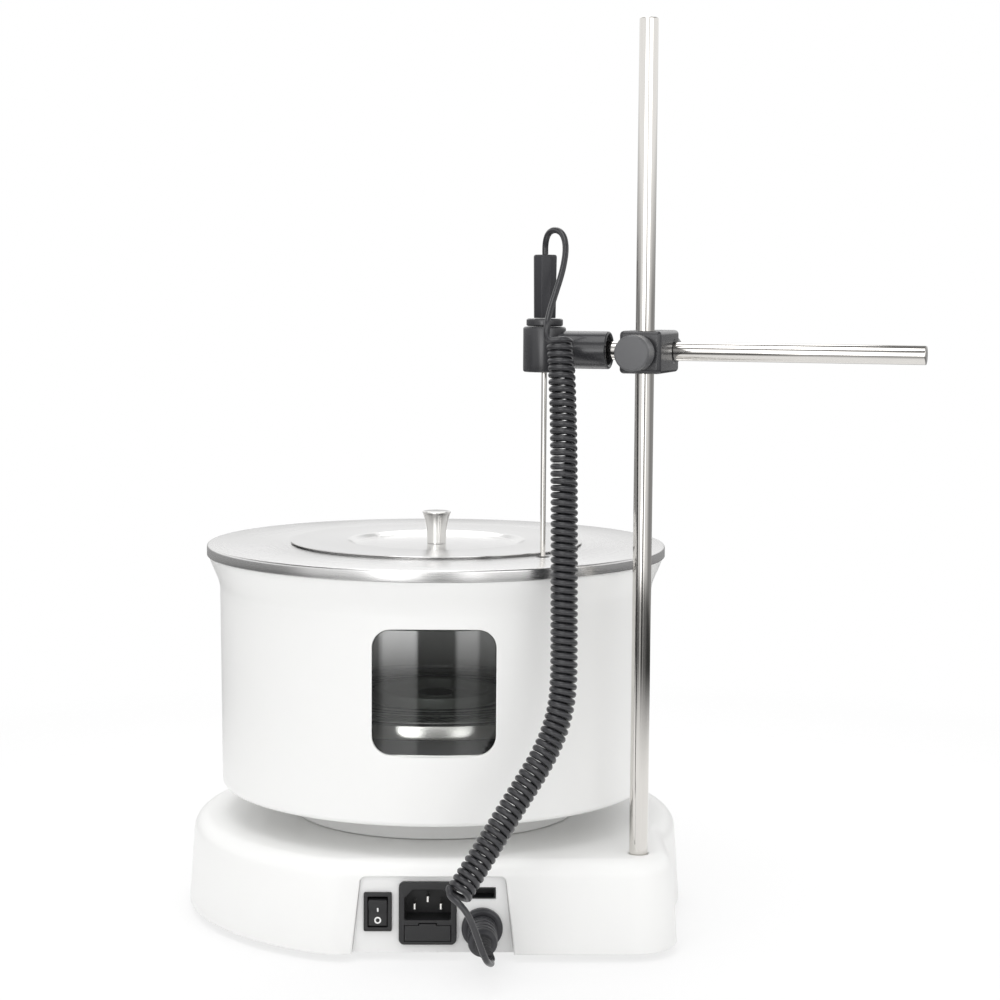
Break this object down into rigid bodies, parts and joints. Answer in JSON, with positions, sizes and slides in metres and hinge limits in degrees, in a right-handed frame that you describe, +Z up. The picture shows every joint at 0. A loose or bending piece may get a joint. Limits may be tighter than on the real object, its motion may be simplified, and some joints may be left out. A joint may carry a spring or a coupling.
{
  "type": "magnetic stirrer",
  "caption": "Heated bath magnetic stirrer: round white base, bath with rear window, steel cover and lid, support rod with clamped cross rod, sensor probe and coiled cord.",
  "frame": {"origin": "bench top under the centre of the part's box, measured without the free cord and its plug", "axes": "+Z up along the support rod, +Y to the rear panel, -Y to the controls, metres"},
  "size_m": [0.3988, 0.3332, 0.498],
  "materials": {
    "white_plastic": "satin white moulding",
    "panel_plastic": "pale grey, fine grain",
    "black_plastic": "black, fine grain",
    "clamp_grey": "dark grey, moulded",
    "cord_grey": "dark grey cord jacket, satin",
    "rubber": "black, matt",
    "steel": "stainless steel, finely brushed",
    "dark_metal": "dark anodised",
    "zinc": "zinc plated",
    "glass": "clear",
    "silicone": "pale silicone",
    "insulation": "mineral fibre board",
    "board_green": "green circuit board",
    "display": "dark display window",
    "magnet": "nickel plated"
  },
  "bodies": {
    "base": {"base_housing": "white_plastic", "base_plate": "zinc", "base_screw_front_left": "zinc", "base_screw_front_right": "zinc", "base_screw_rear_left": "zinc", "base_screw_rear_right": "zinc", "bath_pedestal": "white_plastic", "bath_shell": "white_plastic", "coiled_cord": "cord_grey", "control_board": "board_green", "cord_lower_lead": "cord_grey", "data_port": "black_plastic", "display_window": "display", "foot_front_left": "rubber", "foot_front_right": "rubber", "foot_rear_left": "rubber", "foot_rear_right": "rubber", "front_panel": "panel_plastic", "glass_pot": "glass", "heater_band": "steel", "heater_housing": "dark_metal", "heater_plate": "dark_metal", "heating_element": "dark_metal", "inlet_body": "black_plastic", "inlet_pin_earth": "zinc", "inlet_pin_left": "zinc", "inlet_pin_right": "zinc", "insulation_disc": "insulation", "plug_boot": "rubber", "rear_panel": "panel_plastic", "rear_window": "glass", "rim_seal": "silicone", "rod_socket": "zinc", "sensor_plug": "black_plastic", "sensor_socket": "black_plastic", "stirrer_motor": "zinc", "support_rod": "steel", "switch_frame": "black_plastic"},
    "rocker": {"switch_rocker": "black_plastic"},
    "drawer": {"fuse_drawer": "black_plastic", "fuse": "glass"},
    "carriage": {"clamp_block": "clamp_grey", "cross_rod": "steel", "probe_holder": "clamp_grey"},
    "rod_knob": {"rod_clamp_knob": "black_plastic"},
    "cross_knob": {"cross_rod_knob": "black_plastic"},
    "nut": {"holder_nut": "black_plastic"},
    "probe": {"probe_handle": "black_plastic", "probe_sheath": "steel", "cord_upper_lead": "cord_grey"},
    "ring": {"cover_ring": "steel"},
    "cover": {"lid": "steel", "lid_knob": "steel"},
    "rotor": {"motor_shaft": "steel", "magnet_carrier": "zinc", "magnet_left": "magnet", "magnet_right": "magnet"},
    "temperature_dial": {"temperature_knob": "black_plastic"},
    "speed_dial": {"speed_knob": "black_plastic"}
  },
  "joints": [
    {"name": "switch_rock", "type": "hinge", "parent": "base", "child": "rocker", "pos_m": [0.08577, 0.12287, 0.0264], "axis": [1, 0, 0], "range_deg": [0, 18]},
    {"name": "fuse_drawer_slide", "type": "slide", "parent": "base", "child": "drawer", "axis": [0, 1, 0], "range_m": [0, 0.014]},
    {"name": "clamp_slide", "type": "slide", "parent": "base", "child": "carriage", "axis": [0, 0, 1], "range_m": [-0.01, 0.13], "deforming": ["coiled_cord"]},
    {"name": "rod_clamp_turn", "type": "hinge", "parent": "carriage", "child": "rod_knob", "pos_m": [-0.05413, 0.10782, 0.324], "axis": [0.3256, 0.9455, 0], "range_deg": [0, 360]},
    {"name": "cross_clamp_turn", "type": "hinge", "parent": "carriage", "child": "cross_knob", "pos_m": [-0.06064, 0.08891, 0.324], "axis": [-0.3256, -0.9455, 0], "range_deg": [0, 360]},
    {"name": "holder_nut_turn", "type": "hinge", "parent": "carriage", "child": "nut", "pos_m": [-0.00259, 0.06892, 0.3387], "axis": [0, 0, 1], "range_deg": [0, 360]},
    {"name": "probe_slide", "type": "slide", "parent": "carriage", "child": "probe", "axis": [0, 0, 1], "range_m": [0, 0.06], "deforming": ["coiled_cord"]},
    {"name": "cover_ring_lift", "type": "slide", "parent": "base", "child": "ring", "axis": [0, 0, 1], "range_m": [0, 0.03]},
    {"name": "lid_lift", "type": "slide", "parent": "ring", "child": "cover", "axis": [0, 0, 1], "range_m": [0, 0.045]},
    {"name": "stirring_drive", "type": "hinge", "parent": "base", "child": "rotor", "pos_m": [0.05637, -0.00118, 0.09], "axis": [0, 0, 1], "continuous": true},
    {"name": "temperature_turn", "type": "hinge", "parent": "base", "child": "temperature_dial", "pos_m": [0.09237, -0.12684, 0.02725], "axis": [0, -1, 0], "range_deg": [-270, 0]},
    {"name": "speed_turn", "type": "hinge", "parent": "base", "child": "speed_dial", "pos_m": [0.02037, -0.12684, 0.02725], "axis": [0, -1, 0], "range_deg": [-270, 0]}
  ]
}
